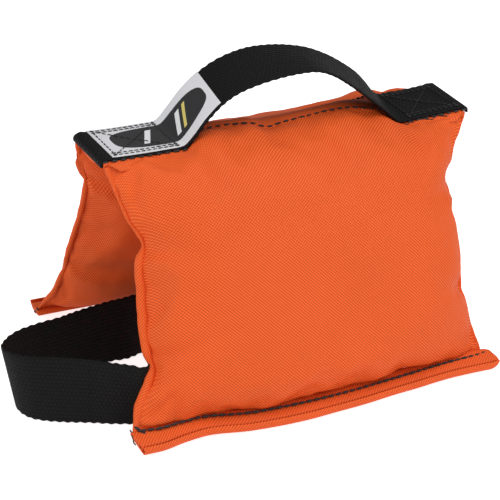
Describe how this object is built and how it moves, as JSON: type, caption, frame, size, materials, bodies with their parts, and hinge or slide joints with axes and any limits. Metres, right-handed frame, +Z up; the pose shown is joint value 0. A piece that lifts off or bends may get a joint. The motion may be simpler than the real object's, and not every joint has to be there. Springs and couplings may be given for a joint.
{
  "type": "saddle sandbag",
  "caption": "Orange saddle sandbag: a filled pouch hangs each side of a flat bridge with a black webbing handle and a side strap loop.",
  "frame": {"origin": "on the floor, under the middle of the whole object's box, side strap included; the bag itself is centred 24.8 mm towards +X", "axes": "+X along the bridge from the strap end to the plain end, -Y towards the near pouch, +Z up"},
  "size_m": [0.2815, 0.1622, 0.1791],
  "materials": {
    "orange_nylon": "matte",
    "black_webbing": "matte",
    "black_thread": "matte",
    "label_weave": "matte",
    "clear_poly_film": "satin",
    "dry_sand": "matte"
  },
  "bodies": {
    "bridge": {"bridge_outer_panel": "orange_nylon", "bridge_lining": "orange_nylon", "near_fold_stitching": "black_thread", "far_fold_stitching": "black_thread", "handle_left_end": "black_webbing", "handle_right_end": "black_webbing", "handle_left_root": "black_webbing", "handle_right_root": "black_webbing", "woven_label": "label_weave", "left_box_stitching": "black_thread", "right_box_stitching": "black_thread"},
    "near_pouch": {"near_outer_panel": "orange_nylon", "near_inner_panel": "orange_nylon", "near_poly_liner": "clear_poly_film", "near_sand_fill": "dry_sand", "near_left_seam_welt": "orange_nylon", "near_right_seam_welt": "orange_nylon", "near_rolled_hem": "orange_nylon", "near_hem_stitching": "black_thread", "side_strap_near_end": "black_webbing", "side_strap_near_leg": "black_webbing"},
    "far_pouch": {"far_outer_panel": "orange_nylon", "far_inner_panel": "orange_nylon", "far_poly_liner": "clear_poly_film", "far_sand_fill": "dry_sand", "far_left_seam_welt": "orange_nylon", "far_right_seam_welt": "orange_nylon", "far_rolled_hem": "orange_nylon", "far_hem_stitching": "black_thread", "side_strap_far_end": "black_webbing", "side_strap_far_leg": "black_webbing"},
    "handle": {"handle_arch": "black_webbing", "woven_label_upper": "label_weave"},
    "side_strap": {"side_strap_loop": "black_webbing"}
  },
  "joints": [
    {"name": "near_pouch_fold", "type": "hinge", "parent": "bridge", "child": "near_pouch", "pos_m": [0.02475, -0.0196, 0.13952], "axis": [-1, 0, 0], "range_deg": [-16, 35], "deforming": ["side_strap_near_leg"]},
    {"name": "far_pouch_fold", "type": "hinge", "parent": "bridge", "child": "far_pouch", "pos_m": [0.02475, 0.0196, 0.13952], "axis": [1, 0, 0], "range_deg": [-16, 35], "deforming": ["side_strap_far_leg"]},
    {"name": "handle_tilt", "type": "hinge", "parent": "bridge", "child": "handle", "pos_m": [0.02475, 0, 0.14212], "axis": [1, 0, 0], "range_deg": [-30, 30], "stiffness_Nm_per_rad": 0.02, "deforming": ["handle_left_root", "handle_right_root", "woven_label_upper"]},
    {"name": "side_strap_lift", "type": "hinge", "parent": "bridge", "child": "side_strap", "pos_m": [-0.10325, 0, 0.0196], "axis": [0, 1, 0], "range_deg": [0, 40]}
  ]
}
